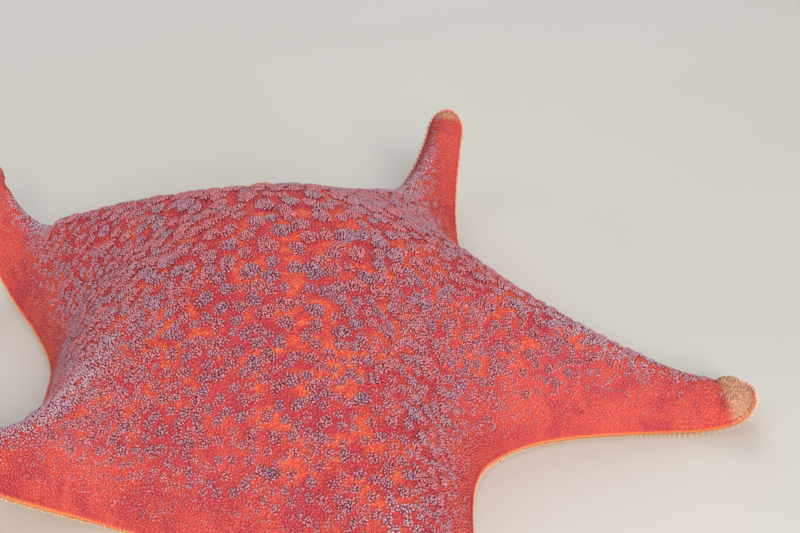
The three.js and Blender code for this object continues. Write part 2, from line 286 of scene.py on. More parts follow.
def depth_inside(s, w):
    i = np.clip((s - GRID_S[0]) / GRID_STEP, 0, len(GRID_S) - 1.001)
    j = np.clip((w - GRID_W[0]) / GRID_STEP, 0, len(GRID_W) - 1.001)
    low_i, low_j = i.astype(int), j.astype(int)
    near = lerp(DEPTH_GRID[low_i, low_j], DEPTH_GRID[low_i, low_j + 1], j - low_j)
    far = lerp(DEPTH_GRID[low_i + 1, low_j], DEPTH_GRID[low_i + 1, low_j + 1], j - low_j)
    return lerp(near, far, i - low_i)


def inward(s, w):
    """Unit step away from the rim in an arm's layout."""
    step = 0.4
    along_s = depth_inside(s + step, w) - depth_inside(s - step, w)
    along_w = depth_inside(s, w + step) - depth_inside(s, w - step)
    return unit(np.stack([along_s, along_w], -1))


def top_height(s, w):
    """Height of the upper side over the floor."""
    away = np.hypot(s, w)
    depth = np.maximum(depth_inside(s, w), 0)
    dome = 1 - np.exp(-((depth / DOME_RUN) ** DOME_POWER))
    hump = HUMP[0] * np.exp(-((away / HUMP[1]) ** 2))
    drop = TIP_DROP[0] * smooth(away, *TIP_DROP[1:])
    bulb = TIP_BULB[0] * np.exp(-(((away - TIP_BULB[1]) / TIP_BULB[2]) ** 2))
    crease = TIP_CREASE[0] * np.exp(-(((away - TIP_CREASE[1]) / TIP_CREASE[2]) ** 2))
    inside_edge = 1 - np.exp(-((depth / TIP_EDGE) ** 2))
    return RIM_TOP + dome * (DOME_RISE * (1 - drop) + hump) + inside_edge * (bulb - crease)


# Pose

def blend_around(knots, angle):
    """Value between knots that are spread evenly round the star."""
    place = angle / (2 * math.pi) * len(knots)
    first = np.floor(place).astype(int)
    share = 0.5 - 0.5 * np.cos(math.pi * (place - first))
    values = np.array(knots)
    return lerp(values[first % len(knots)], values[(first + 1) % len(knots)], share)


LAID_OUT = [2 * SECTOR * k for k in range(ARM_COUNT)]
ARM_TURNS = [
    math.remainder(math.radians(yaw) - laid_out, 2 * math.pi)
    for yaw, laid_out in zip(YAW, LAID_OUT)
]
STRETCHES = [value for pair in zip(np.array(ARM_REACH) / REACH, WEB_STRETCH) for value in pair]
THICKNESSES = [value for thickness in THICKNESS for value in (thickness, 1.0)]


def hold_at(away):
    """How fully a point this far from the mouth takes part in the pose."""
    return 1 - np.exp(-((away / POSE_RADIUS) ** 2))


def pose(s, w, z, arm):
    """Places of laid-out points, each on its own arm, in millimetres."""
    laid_out_angle = np.arctan2(w, s) + 2 * SECTOR * arm
    z = z * lerp(1, blend_around(THICKNESSES, laid_out_angle), hold_at(np.hypot(s, w)))
    curl_from = np.take(CURL_FROM, arm)
    curl_height = np.take(CURL_HEIGHT, arm)
    w = w * lerp(1, np.take(TIP_WIDTH, arm), smooth(s, *NARROW))
    bend = np.maximum(s - curl_from, 0) / (curl_height - CURL_NEUTRAL)
    radius = curl_height - z
    curled = s > curl_from
    s = np.where(curled, curl_from + radius * np.sin(bend), s)
    z = np.where(curled, curl_height - radius * np.cos(bend), z)
    away = np.hypot(s, w)
    angle = np.arctan2(w, s) + 2 * SECTOR * arm
    hold = hold_at(away)
    angle, away = (
        angle + hold * blend_around(ARM_TURNS, angle),
        away * lerp(1, blend_around(STRETCHES, angle), hold),
    )
    return np.stack([away * np.cos(angle), away * np.sin(angle), z], -1) + MOUTH


def frames_on(height, s, w, arm):
    """Posed points on a laid-out surface, with unit steps along the arm, across it and out."""
    def at(ds, dw):
        return pose(s + ds, w + dw, height(s + ds, w + dw), arm)

    step = 0.3
    along = unit(at(step, 0) - at(-step, 0))
    out = unit(np.cross(along, at(0, step) - at(0, -step)))
    return at(0, 0), along, np.cross(out, along), out


# Meshes

def add_piece(name, points, faces, uv, material, slot, **attributes):
    """A mesh of triangles that rides on the star, its points in millimetres, its uv per corner."""
    mesh = bpy.data.meshes.new(name)
    mesh.vertices.add(len(points))
    mesh.vertices.foreach_set("co", (points * MM).astype(np.float32).ravel())
    mesh.loops.add(faces.size)
    mesh.loops.foreach_set("vertex_index", faces.astype(np.int32).ravel())
    mesh.polygons.add(len(faces))
    mesh.polygons.foreach_set("loop_start", np.arange(0, faces.size, 3, dtype=np.int32))
    mesh.update(calc_edges=True)
    mesh.shade_smooth()
    mesh.uv_layers.new(name="OFBake").uv.foreach_set("vector", uv.astype(np.float32).ravel())
    for key, values in attributes.items():
        is_vector = np.ndim(values) == 2
        kind = "FLOAT_VECTOR" if is_vector else "FLOAT"
        layer = mesh.attributes.new(key, kind, "POINT")
        values = np.asarray(values, np.float32).ravel()
        layer.data.foreach_set("vector" if is_vector else "value", values)
    mesh.materials.append(material)
    piece = bpy.data.objects.new(name, mesh)
    bpy.context.scene.collection.objects.link(piece)
    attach(piece, "root")
    return piece


def grid_faces(rows, columns, first=0):
    """Triangles of a grid of points that are counted row by row."""
    corner = first + (np.arange(rows - 1)[:, None] * columns + np.arange(columns - 1)).ravel()
    one = np.stack([corner, corner + columns, corner + columns + 1], 1)
    other = np.stack([corner, corner + columns + 1, corner + 1], 1)
    return np.concatenate([one, other])


def stubs(root, axis, radius, length, profile, sides, spot):
    """Many small stubs of one profile, rings of (share of radius, share of length) and a tip.

    Gives points, faces, corner uv and each point's share of the way up. spot is each stub's
    place on the map, round which its rings lie as a small patch.
    """
    count = len(root)
    helper = unit(rng.normal(size=(count, 3)))
    one = unit(np.cross(axis, helper))
    other = np.cross(axis, one)
    turn = 2 * math.pi * np.arange(sides) / sides
    shares = np.array(profile)
    rings = len(shares)
    spread = one[:, None] * np.cos(turn)[:, None] + other[:, None] * np.sin(turn)[:, None]
    climb = shares[:, 1] * length[:, None]
    ring_points = (
        root[:, None, None]
        + spread[:, None] * (shares[:, 0] * radius[:, None])[:, :, None, None]
        + axis[:, None, None] * climb[:, :, None, None]
    )
    tips = root + axis * length[:, None]
    points = np.concatenate([ring_points.reshape(count, -1, 3), tips[:, None]], 1)
    rise = np.append(np.repeat(np.clip(shares[:, 1], 0, 1), sides), 1.0)
    out = PATCH / 2 * np.repeat(1 - np.arange(rings) / rings, sides)
    patch = np.stack([out * np.cos(np.tile(turn, rings)), out * np.sin(np.tile(turn, rings))], 1)
    patch = np.concatenate([patch, [[0.0, 0.0]]])
    walls = [
        face
        for ring in range(rings - 1)
        for i in range(sides)
        for face in wall_faces(ring * sides, i, (i + 1) % sides, sides)
    ]
    last = (rings - 1) * sides
    crown = [(last + i, last + (i + 1) % sides, last + sides) for i in range(sides)]
    base = [(0, i + 1, i) for i in range(1, sides - 1)]
    template = np.array(walls + crown + base)
    corners = patch[template]
    corners[-len(base):] = patch[0]
    size = len(patch)
    faces = (template + size * np.arange(count)[:, None, None]).reshape(-1, 3)
    uv = (corners + spot[:, None, None]).reshape(-1, 3, 2)
    return points.reshape(-1, 3), faces, uv, np.tile(rise, count)


def wall_faces(first, i, following, sides):
    return [
        (first + i, first + following, first + sides + following),
        (first + i, first + sides + following, first + sides + i),
    ]


# Layout of the coat

def scattered(points, spacing, order):
    """Indices of points at least their spacing apart, taken in this order."""
    tree = kdtree.KDTree(len(points))
    for i, point in enumerate(points):
        tree.insert(point, i)
    tree.balance()
    free = np.ones(len(points), bool)
    chosen = []
    for i in order:
        if free[i]:
            chosen.append(i)
            for _, j, _ in tree.find_range(points[i], spacing[i]):
                free[j] = False
    return np.array(chosen)


def plan_candidates(density):
    """Random places inside the outline, so many on a square millimetre: plan, then (s, w), arm."""
    side = 2 * REACH
    x, y = rng.uniform(-REACH, REACH, (2, int(side * side * density)))
    s, w, arm = to_arm(x, y)
    inside = depth_inside(s, w) > 0
    return x[inside], y[inside], s[inside], w[inside], arm[inside]


def tuft_spacing(s, w):
    away = np.hypot(s, w)
    spacing = lerp(TUFT_SPACING["middle"], TUFT_SPACING["arm"], smooth(away, *TUFT_ZONES[:2]))
    spacing = lerp(spacing, TUFT_SPACING["tip"], smooth(away, *TUFT_ZONES[1:]))
    return lerp(MARGIN_SPACING, 1.0, smooth(depth_inside(s, w), *TUFT_MARGIN)) * spacing


def beside_sieve(x, y, room):
    sieve = from_arm(*SIEVE_PLACE, SIEVE_ARM)
    return np.hypot(x - sieve[0], y - sieve[1]) > SIEVE_RADIUS + room


def lay_out_tufts():
    """Tufts as (s, w, arm, radius)."""
    x, y, s, w, arm = plan_candidates(TRIED["tufts"])
    wanted = (depth_inside(s, w) > TUFT_MARGIN[0]) & beside_sieve(x, y, SIEVE_ROOM["tufts"])
    x, y, s, w, arm = (values[wanted] for values in (x, y, s, w, arm))
    spacing = tuft_spacing(s, w) * np.exp(np.clip(rng.normal(0, TUFT_VARIETY, len(s)), -0.4, 0.4))
    points = np.stack([x, y, top_height(s, w)], 1)
    chosen = scattered(points, spacing, rng.permutation(len(s)))
    s, w, arm, spacing = s[chosen], w[chosen], arm[chosen], spacing[chosen]
    share = lerp(TUFT_SHARE, CREST_SHARE, crestness(s, w, arm))
    share = share * lerp(MARGIN_RADIUS, 1, smooth(depth_inside(s, w), *TUFT_MARGIN))
    return s, w, arm, share * spacing


def nearest_tuft(x, y, height, tufts):
    """Distance from each laid-out point to the nearest tuft's middle, and that tuft."""
    s, w, arm, _ = tufts
    tree = kdtree.KDTree(len(s))
    for i, place in enumerate(zip(*from_arm(s, w, arm), top_height(s, w))):
        tree.insert(place, i)
    tree.balance()
    found = [tree.find(point)[1:] for point in zip(x, y, height)]
    nearest, away = zip(*found)
    return np.array(away), np.array(nearest)


def lay_out_grains(tufts):
    """Grains between the tufts, in even rows along the margin, as (s, w, arm)."""
    x, y, s, w, arm = plan_candidates(TRIED["grains"])
    depth = depth_inside(s, w)
    wanted = (depth > GRAIN_EDGE) & beside_sieve(x, y, SIEVE_ROOM["grains"])
    x, y, s, w, arm, depth = (values[wanted] for values in (x, y, s, w, arm, depth))
    height = top_height(s, w)
    away, nearest = nearest_tuft(x, y, height, tufts)
    between = away > tufts[3][nearest] + 0.1
    x, y, s, w, arm, depth, height = (
        values[between] for values in (x, y, s, w, arm, depth, height)
    )
    inner = smooth(depth, *GRAIN_MARGIN)
    spacing = lerp(GRAIN_SPACING["margin"], GRAIN_SPACING["open"], inner)
    order = np.argsort(depth + rng.normal(0, 1, len(s)) * lerp(0.02, 1.0, inner))
    chosen = scattered(np.stack([x, y, height], 1), spacing, order)
    return s[chosen], w[chosen], arm[chosen]


# Skin

def arm_rows():
    """Places along an arm, closer where its cap rounds off."""
    inner = np.linspace(0, NOTCH_POINT[0], INNER_ROWS + 1)
    outer = np.linspace(NOTCH_POINT[0], CAP_POINT[0], OUTER_ROWS + 1)[1:]
    cap = CAP_POINT[0] + TIP_LENGTH * np.sin(np.linspace(0, math.pi / 2, CAP_ROWS + 1))[1:]
    return np.concatenate([inner, outer, cap])


def groove_radius(s):
    radius = lerp(GROOVE_RADIUS[0], GROOVE_RADIUS[1], np.clip(s / REACH, 0, 1))
    return radius * np.sqrt(1 - smooth(s, *GROOVE_END))


def near_rim(s, w):
    return np.exp(-((depth_inside(s, w) / RIM_ROUND) ** 2))


def under_height(s, w):
    """Height of the skin's underside, with the grooves and the mouth."""
    flat = lerp(UNDER_HEIGHT, RIM_SECTION[-1][1], near_rim(s, w))
    groove = np.sqrt(np.maximum(groove_radius(s) ** 2 - w ** 2, 0))
    share = np.clip(np.hypot(s, w) / MOUTH_RADIUS, 0, 1)
    mouth = MOUTH_DEPTH * np.sqrt(1 - share ** 3)
    return np.maximum(flat, np.maximum(groove, mouth))


def under_columns(rows):
    """Places across the underside for each row: close in the groove, wider beside it."""
    width = half_width(rows)[:, None]
    groove = np.minimum(np.maximum(groove_radius(rows), 0.6)[:, None], 0.6 * width)
    inner = groove * np.sin(np.linspace(0, math.pi / 2, GROOVE_COLUMNS))
    outer = lerp(groove, width, np.linspace(0, 1, UNDER_COLUMNS)[1:])
    half = np.concatenate([inner, outer], 1)
    return np.concatenate([-half[:, :0:-1], half], 1)


def skin_points(s, w, arm, layer):
    """Posed skin: layer 0 is the upper side, the last one the underside, the rim is between."""
    if layer == 0:
        origin, _, _, out = frames_on(top_height, s, w, arm)
        return origin - out * COAT_DEPTH
    inset, height = RIM_SECTION[layer - 1]
    if layer == UNDER_LAYER:
        inset = inset * near_rim(s, w)
        height = under_height(s, w)
    step = inward(s, w) * np.reshape(inset, (-1, 1))
    return pose(s + step[:, 0], w + step[:, 1], height, arm)


def skin_sheets():
    """Grids of one arm's skin: s by row, w by row and column, layer by column."""
    rows = arm_rows()
    rim_rows = rows[rows > NOTCH_POINT[0] - 0.001]
    top = half_width(rows)[:, None] * np.linspace(-1, 1, TOP_COLUMNS + 1)
    under = under_columns(rows)[:, ::-1]
    rim = np.repeat(half_width(rim_rows)[:, None], UNDER_LAYER + 1, 1)
    layers = np.arange(UNDER_LAYER + 1)
    return [
        (rows, top, np.full(top.shape[1], 0)),
        (rows, under, np.full(under.shape[1], UNDER_LAYER)),
        (rim_rows, rim, layers),
        (rim_rows, -rim, layers[::-1]),
    ]


def skin_map(x, y, half):
    """Place on the skin's map: the upper side's plan in its left half, the underside's right."""
    side = 2 * (REACH + MAP_MARGIN)
    return np.stack([0.5 * (x / side + 0.5 + half), y / side + 0.5], -1)


def skin_sheet(arm, rows, w, layers):
    """One grid of skin: its places in the layout, posed points, faces and corner uv."""
    s = np.repeat(rows[:, None], len(layers), 1)
    arms = np.full(len(rows), arm)
    columns = [skin_points(s[:, j], w[:, j], arms, layer) for j, layer in enumerate(layers)]
    s, w, layer = s.ravel(), w.ravel(), np.tile(layers, len(rows))
    x, y = from_arm(s, w, arm)
    is_under = layers.min() == UNDER_LAYER
    push = inward(s, w) * (-RIM_MAP_STEP * layer * (not is_under))[:, None]
    push_x, push_y = from_arm(push[:, 0], push[:, 1], arm)
    faces = grid_faces(len(rows), len(layers))
    uv = skin_map(x + push_x, y + push_y, float(is_under))[faces]
    return np.stack([x, y, layer], 1), np.stack(columns, 1).reshape(-1, 3), faces, uv


def build_skin(tufts, material):
    sheets = [skin_sheet(arm, *sheet) for arm in range(ARM_COUNT) for sheet in skin_sheets()]
    places, points, faces, uv = zip(*sheets)
    first = np.cumsum([0] + [len(place) for place in places[:-1]])
    faces = np.concatenate([grid + start for grid, start in zip(faces, first)])
    places, points, uv = np.concatenate(places), np.concatenate(points), np.concatenate(uv)
    # Weld the sheets where their places in the layout meet, and drop what that closes
    _, kept, same = np.unique(np.round(places, 3), axis=0, return_index=True, return_inverse=True)
    faces = same.reshape(-1)[faces]
    whole = np.all(faces != np.roll(faces, 1, axis=1), axis=1)
    faces, uv = faces[whole], uv[whole]
    (x, y, layer), points = places[kept].T, points[kept]
    s, w, arm = to_arm(x, y)
    height = top_height(s, w)
    cover = np.where(layer == 0, tuft_cover(x, y, height, tufts), 0)
    _, _, _, out = frames_on(top_height, s, w, arm)
    points = points + out * (MOUND_HEIGHT * cover)[:, None]
    return add_piece(
        "skin", points, faces, uv, material, "skin",
        place=np.stack([x, y, height], 1), depth=depth_inside(s, w), pale=paleness(s, w, arm),
        under=layer / UNDER_LAYER, cover=cover, web=webness(s, w), crest=crestness(s, w, arm),
    )


def paleness(s, w, arm):
    """How pale the skin is towards the arm's tip."""
    start = np.take(PALE_FROM, arm)
    slanted = s + np.take(PALE_SLANT, arm) * w
    return smooth(slanted, start - 0.8, start + 0.6)


def crestness(s, w, arm):
    """1 along the crest of an arm, 0 beside it and over the middle."""
    aside = w - np.take(CREST_ASIDE, arm)
    start, end = np.array(CREST_FROM)[arm].T
    return np.exp(-((aside / CREST_HALF_WIDTH) ** 2)) * smooth(s, start, end)


def webness(s, w):
    """1 along the middle of a web, 0 towards the arms."""
    return smooth(np.abs(np.arctan2(w, s)) / SECTOR, 0.35, 0.95) * smooth(np.hypot(s, w), 14, 34)


def tuft_cover(x, y, height, tufts):
    """How fully each laid-out point is covered by the nearest tuft, less so by a small one."""
    away, nearest = nearest_tuft(x, y, height, tufts)
    radius = tufts[3][nearest]
    return (1 - smooth(away, 0.6 * radius, 1.15 * radius)) * smooth(radius, *TUFT_SHADE)


# Profiles of the small pieces, rings of (share of radius, share of length) from the root up

GRANULE = [(0.9, -0.2), (1.0, 0.62)]
GRAIN = [(1.0, -0.3), (0.85, 0.5)]
SPINELET = [(1.0, -0.2), (0.85, 0.5), (0.55, 0.9)]
COMB_TOOTH = [(1.0, -0.2), (0.8, 0.75)]
TUBE_FOOT = [(1.0, -0.1), (0.8, 0.3), (0.66, 0.72), (1.1, 0.86), (1.12, 0.97), (0.55, 0.99)]
JAW = [(1.0, -0.1), (0.97, 0.3), (0.85, 0.65), (0.55, 0.92)]
BEAD = [(0.8, -0.3), (1.0, 0.2), (0.8, 0.7), (0.4, 0.95)]


# Granules of the upper side

def granules_of(tufts):
    """Root, axis, radius and height of every granule, its (s, w), and the tuft it belongs to."""
    s, w, arm, reach = tufts
    ground = 0.866 * GRANULE_PITCH ** 2
    number = np.maximum(np.round(math.pi * reach ** 2 / ground), 3).astype(int)
    tuft = np.repeat(np.arange(len(s)), number)
    rank = np.arange(len(tuft)) - np.repeat(np.cumsum(number) - number, number)
    share = np.sqrt((rank + 0.5) / number[tuft])
    start, one, other = rng.uniform(0, 2 * math.pi, (3, len(s)))
    turn = rank * GOLDEN_ANGLE + start[tuft]
    two_lobes = TUFT_LOBES[0] * np.cos(2 * turn - one[tuft])
    three_lobes = TUFT_LOBES[1] * np.cos(3 * turn - other[tuft])
    away = share * (1 + two_lobes + three_lobes) * reach[tuft]
    a = away * np.cos(turn) + rng.normal(0, GRANULE_JITTER, len(tuft))
    b = away * np.sin(turn) + rng.normal(0, GRANULE_JITTER, len(tuft))
    origin, along, aside, out = (axis[tuft] for axis in frames_on(top_height, s, w, arm))
    spread = along * a[:, None] + aside * b[:, None]
    size = smooth(reach, *TUFT_FULL)
    mound = MOUND_HEIGHT * (size[tuft] - 0.7 * share ** 2) - COAT_DEPTH
    root = origin + spread + out * mound[:, None]
    lean = GRANULE_SPLAY * spread / reach[tuft][:, None]
    axis = unit(out + lean + rng.normal(0, 0.08, spread.shape))
    count = len(tuft)
    radius = GRANULE_RADIUS * rng.uniform(0.85, 1.15, count)
    height = lerp(*GRANULE_HEIGHT, size[tuft]) * rng.uniform(0.8, 1.1, count)
    return root, axis, radius, height, (s[tuft] + a, w[tuft] + b), tuft


def arm_map(s, w, start, end):
    """Place on the map of a piece that lies on one arm between two places along it."""
    return np.stack([
        0.02 + 0.96 * (s - start + 1) / (end - start + 2),
        0.5 + 0.96 * w / (2 * HALF_SPAN),
    ], -1)


def add_stubs(name, place, root, axis, size, shape, material, slot, **each):
    """A piece of stubs on one arm. place is (s, w, arm, span of the map along the arm), size is
    (radius, length), shape is (profile, sides), and each gives further values for each stub."""
    s, w, arm, span = place
    spot = arm_map(s, w, *span)
    points, faces, uv, rise = stubs(root, axis, *size, *shape, spot)
    per_point = np.repeat(np.arange(len(s)), len(rise) // len(s))
    arms = np.full(len(s), arm)
    values = {
        "depth": depth_inside(s, w), "pale": paleness(s, w, arms), "web": webness(s, w),
        "crest": crestness(s, w, arms), "tint": rng.uniform(0, 1, len(s)), **each,
    }
    x, y = from_arm(s, w, arm)
    laid_out = np.stack([x, y, top_height(s, w)], 1)[per_point]
    values = {key: value[per_point] for key, value in values.items()}
    return add_piece(name, points, faces, uv, material, slot, place=laid_out, rise=rise, **values)


def add_coat(kind, s, w, arm, root, axis, size, shape, material, **each):
    """The stubs of one kind of coat, as an inner and an outer piece on each arm."""
    for k, name in enumerate(ARM_NAMES):
        for part, start, end in COAT_PIECES:
            own = (arm == k) & (s >= start) & (s < end)
            place = (s[own], w[own], k, (max(start, 0), min(end, REACH)))
            own_size = (size[0][own], size[1][own])
            values = {key: value[own] for key, value in each.items()}
            add_stubs(f"{kind}_{name}_{part}", place, root[own], axis[own], own_size, shape,
                      material, "granules", **values)


def build_granules(tufts, material):
    root, axis, radius, height, (s, w), tuft = granules_of(tufts)
    tone = rng.uniform(0, 1, len(tufts[0]))[tuft]
    add_coat("granules", s, w, tufts[2][tuft], root, axis, (radius, height), (GRANULE, 5),
             material, tone=tone, fullness=smooth(tufts[3], *TUFT_MAUVE)[tuft])


def build_grains(tufts, material):
    s, w, arm = lay_out_grains(tufts)
    origin, _, _, out = frames_on(top_height, s, w, arm)
    count = len(s)
    inner = smooth(depth_inside(s, w), *GRAIN_MARGIN)
    radius = GRAIN_SHARE * lerp(GRAIN_SPACING["margin"], GRAIN_SPACING["open"], inner)
    radius = radius * rng.uniform(0.85, 1.15, count)
    height = rng.uniform(*GRAIN_HEIGHT, count)
    axis = unit(out + rng.normal(0, 0.1, out.shape))
    root = origin - out * COAT_DEPTH
    add_coat("grains", s, w, arm, root, axis, (radius, height), (GRAIN, 4), material)


# Spinelets laid out near the floor

def posed_spines(s, w, z, arm, step):
    """Posed roots, and unit directions of steps (ds, dw, dz) laid out there."""
    arm = np.full(len(s), arm)
    root = pose(s, w, z, arm)
    ds, dw, dz = 0.1 * np.array(step)
    return root, unit(pose(s + ds, w + dw, z + dz, arm) - root)


def rim_places(pitch):
    """Places evenly spaced along one arm's rim."""
    rim = arm_outline(300, 100)
    travelled = np.append(0, np.cumsum(np.linalg.norm(np.diff(rim, axis=0), axis=1)))
    count = int(travelled[-1] / pitch)
    at = (np.arange(count) + 0.5) * travelled[-1] / count
    return np.interp(at, travelled, rim[:, 0]), np.interp(at, travelled, rim[:, 1])


def build_fringe(material):
    """Fans of spinelets on the small plates that edge the star."""
    rim_s, rim_w = rim_places(FRINGE_PITCH)
    for k, name in enumerate(ARM_NAMES):
        lift, sweep, z = np.tile(FRINGE_FAN, (len(rim_s), 1)).T
        s, w = np.repeat([rim_s, rim_w], len(FRINGE_FAN), 1)
        count = len(s)
        out_s, out_w = -inward(s, w).T
        s = s - 0.3 * out_s - 0.3 * sweep * out_w
        w = w - 0.3 * out_w + 0.3 * sweep * out_s
        sideways = 0.5 * sweep + rng.normal(0, 0.12, count)
        lift = lift + rng.normal(0, 0.12, count)
        step = (out_s - sideways * out_w, out_w + sideways * out_s, lift)
        root, axis = posed_spines(s, w, z, k, step)
        length = lerp(*FRINGE_LENGTH, smooth(s, 45, 74)) * rng.uniform(0.8, 1.1, count)
        size = (rng.uniform(*FRINGE_RADIUS, count), length)
        add_stubs(f"fringe_{name}", (s, w, k, (30, REACH)), root, axis, size, (SPINELET, 4),
                  material, "rim_fringe", low=smooth(-z, -1.25, -0.75))


def build_combs(material):
    """Combs of spinelets that lean outwards over the flat of the underside."""
    x, y, s, w, arm = plan_candidates(TRIED["combs"])
    beside = np.abs(w) - groove_radius(s)
    wanted = (
        (beside > COMB_ROOM["groove"])
        & (depth_inside(s, w) > COMB_ROOM["rim"])
        & (np.hypot(s, w) > MOUTH_RADIUS + COMB_ROOM["mouth"])
    )
    x, y, s, w, arm, beside = (values[wanted] for values in (x, y, s, w, arm, beside))
    order = np.argsort(beside + rng.normal(0, 0.3, len(s)))
    chosen = scattered(np.stack([x, y, 0 * x], 1), np.full(len(s), COMB_SPACING), order)
    for k, name in enumerate(ARM_NAMES):
        own = chosen[arm[chosen] == k]
        tooth = np.tile(np.linspace(-1, 1, COMB_TEETH), len(own))
        comb_s, comb_w = np.repeat([s[own], w[own]], COMB_TEETH, 1)
        count = len(tooth)
        comb_s = comb_s + COMB_HALF_WIDTH * tooth
        comb_w = comb_w - 0.15 * np.sign(comb_w) * tooth ** 2
        outwards = np.sign(comb_w) + rng.normal(0, 0.1, count)
        step = (0.3 * tooth, outwards, np.full(count, COMB_DROP))
        root, axis = posed_spines(comb_s, comb_w, UNDER_HEIGHT + 0.02, k, step)
        size = (rng.uniform(0.1, 0.13, count), rng.uniform(0.65, 0.85, count))
        add_stubs(f"combs_{name}", (comb_s, comb_w, k, (0, REACH)), root, axis, size,
                  (COMB_TOOTH, 4), material, "underside")


def build_furrow_spines(material):
    """Fans of spines on both edges of each groove, leaning over it, and one row behind them."""
    places = np.arange(*FURROW_STRETCH, FURROW_PITCH)
    for k, name in enumerate(ARM_NAMES):
        rows = []
        for side in (-1, 1):
            for back, teeth, lean, drop in FURROW_ROWS:
                tooth = np.tile(np.linspace(-1, 1, teeth), len(places))
                s = np.repeat(places, teeth) + FURROW_FAN * tooth
                w = side * (groove_radius(s) + back)
                rows.append(np.stack([s, w, 0.35 * tooth, side * lean + 0 * s, drop + 0 * s]))
        s, w, *step = np.concatenate(rows, 1)
        count = len(s)
        root, axis = posed_spines(s, w, FURROW_ROOT, k, step)
        size = (rng.uniform(0.14, 0.17, count), rng.uniform(0.9, 1.15, count))
        add_stubs(f"furrow_spines_{name}", (s, w, k, (0, REACH)), root, axis, size,
                  (SPINELET, 5), material, "underside")


def build_tube_feet(material):
    """Two staggered rows of tube feet in each groove, drawn in over the floor."""
    for k, name in enumerate(ARM_NAMES):
        rows = []
        for side in (-1, 1):
            s = [FOOT_STRETCH[0] + 0.5 * (side > 0) * FOOT_PITCH[0]]
            while s[-1] < FOOT_STRETCH[1]:
                s.append(s[-1] + lerp(*FOOT_PITCH, s[-1] / REACH))
            rows.append(np.stack([s, side * FOOT_ASIDE * groove_radius(np.array(s))]))
        s, w = np.concatenate(rows, 1)
        count = len(s)
        roof = np.sqrt(groove_radius(s) ** 2 - w ** 2)
        step = (*rng.normal(0, 0.1, (2, count)), np.full(count, -1.0))
        root, axis = posed_spines(s, w, roof + 0.1, k, step)
        size = (FOOT_RADIUS * groove_radius(s), roof - FOOT_CLEARANCE)
        add_stubs(f"tube_feet_{name}", (s, w, k, (0, REACH)), root, axis, size,
                  (TUBE_FOOT, 10), material, "tube_feet")


def build_mouth(material):
    """Five blunt jaws in the webs' directions, with spines round their points."""
    middle = math.cos(SECTOR), math.sin(SECTOR)
    for k, name in enumerate(ARM_NAMES):
        fan = np.array([(0.0, 0.0, JAW_LENGTH, 1.5)] + JAW_SPINES)
        sweep, drop, length, radius = fan.T
        is_spine = np.arange(len(fan)) > 0
        from_middle = np.where(is_spine, JAW_ROOT - 0.8 * JAW_LENGTH, JAW_ROOT)
        s = from_middle * middle[0] - sweep * middle[1]
        w = from_middle * middle[1] + sweep * middle[0]
        z = np.where(is_spine, JAW_HEIGHT - 0.4, JAW_HEIGHT)
        step = (-middle[0] - 0.3 * sweep * middle[1], -middle[1] + 0.3 * sweep * middle[0], -drop)
        root, axis = posed_spines(s, w, z, k, step)
        add_stubs(f"jaw_{name}", (s, w, k, (0, JAW_ROOT + 2)), root, axis, (radius, length),
                  (JAW, 12), material, "underside")


def build_eyespots(material):
    """A small red eyespot under the end of each arm."""
    for k, name in enumerate(ARM_NAMES):
        s, w = np.array([REACH - EYESPOT["inset"]]), np.array([0.0])
        step = (np.array([0.8]), w, np.array([-0.6]))
        root, axis = posed_spines(s, w, EYESPOT["height"], k, step)
        size = (np.array([EYESPOT["radius"]]), np.array([EYESPOT["length"]]))
        add_stubs(f"eyespot_{name}", (s, w, k, (60, REACH)), root, axis, size, (BEAD, 12),
                  material, "tips")


def build_sieve(material):
    """The madreporite: a low button, furrowed from its middle to its edge."""
    rings, spokes = 24, 120
    share = np.linspace(0, 1, rings + 1)[1:, None]
    turn = 2 * math.pi * np.arange(spokes) / spokes
    sway = 0.5 * np.sin(3 * turn + 1) * share + 0.35 * np.sin(9 * share + 2 * turn)
    furrow = np.cos(SIEVE_FURROWS * (turn + 0.2 * sway)) * smooth(share, 0.1, 0.3)
    furrow = furrow * (1 - smooth(share, 0.85, 1.0)) + 0 * turn
    height = SIEVE_PROUD * (1 - share ** 4) - 0.3 + 0.07 * furrow
    radius = SIEVE_RADIUS * share + 0 * turn
    s, w = (np.array([value]) for value in SIEVE_PLACE)
    origin, along, aside, out = frames_on(top_height, s, w, np.array([SIEVE_ARM]))
    ring_points = np.stack([radius * np.cos(turn), radius * np.sin(turn)]).reshape(2, -1)
    a, b = np.append(ring_points, np.zeros((2, 2)), 1)
    height = np.append(height.ravel(), [SIEVE_PROUD - 0.3, -1.0])
    points = origin + along * a[:, None] + aside * b[:, None] + out * height[:, None]
    top, bottom = rings * spokes, rings * spokes + 1
    spoke = np.arange(spokes)
    following = (spoke + 1) % spokes
    inner = np.arange(rings - 1)[:, None] * spokes
    outer = inner + spokes
    one = np.stack([inner + spoke, outer + spoke, outer + following], -1)
    other = np.stack([inner + spoke, outer + following, inner + following], -1)
    crown = np.stack([np.full(spokes, top), spoke, following], 1)
    last = (rings - 1) * spokes
    base = np.stack([last + spoke, np.full(spokes, bottom), last + following], 1)
    faces = np.concatenate([one.reshape(-1, 3), other.reshape(-1, 3), crown, base])
    spread = 0.4 / SIEVE_RADIUS
    uv = np.stack([0.5 + spread * a, 0.5 + spread * b], 1)[faces]
    uv[-spokes:] = uv[-spokes:, :1]
    grooved = np.append(furrow.ravel(), [0, 0])
    piece = add_piece("madreporite_plate", points, faces, uv, material, "madreporite",
                      place=np.stack([a, b, 0 * a], 1), furrow=grooved)
    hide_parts("madreporite")


# Materials

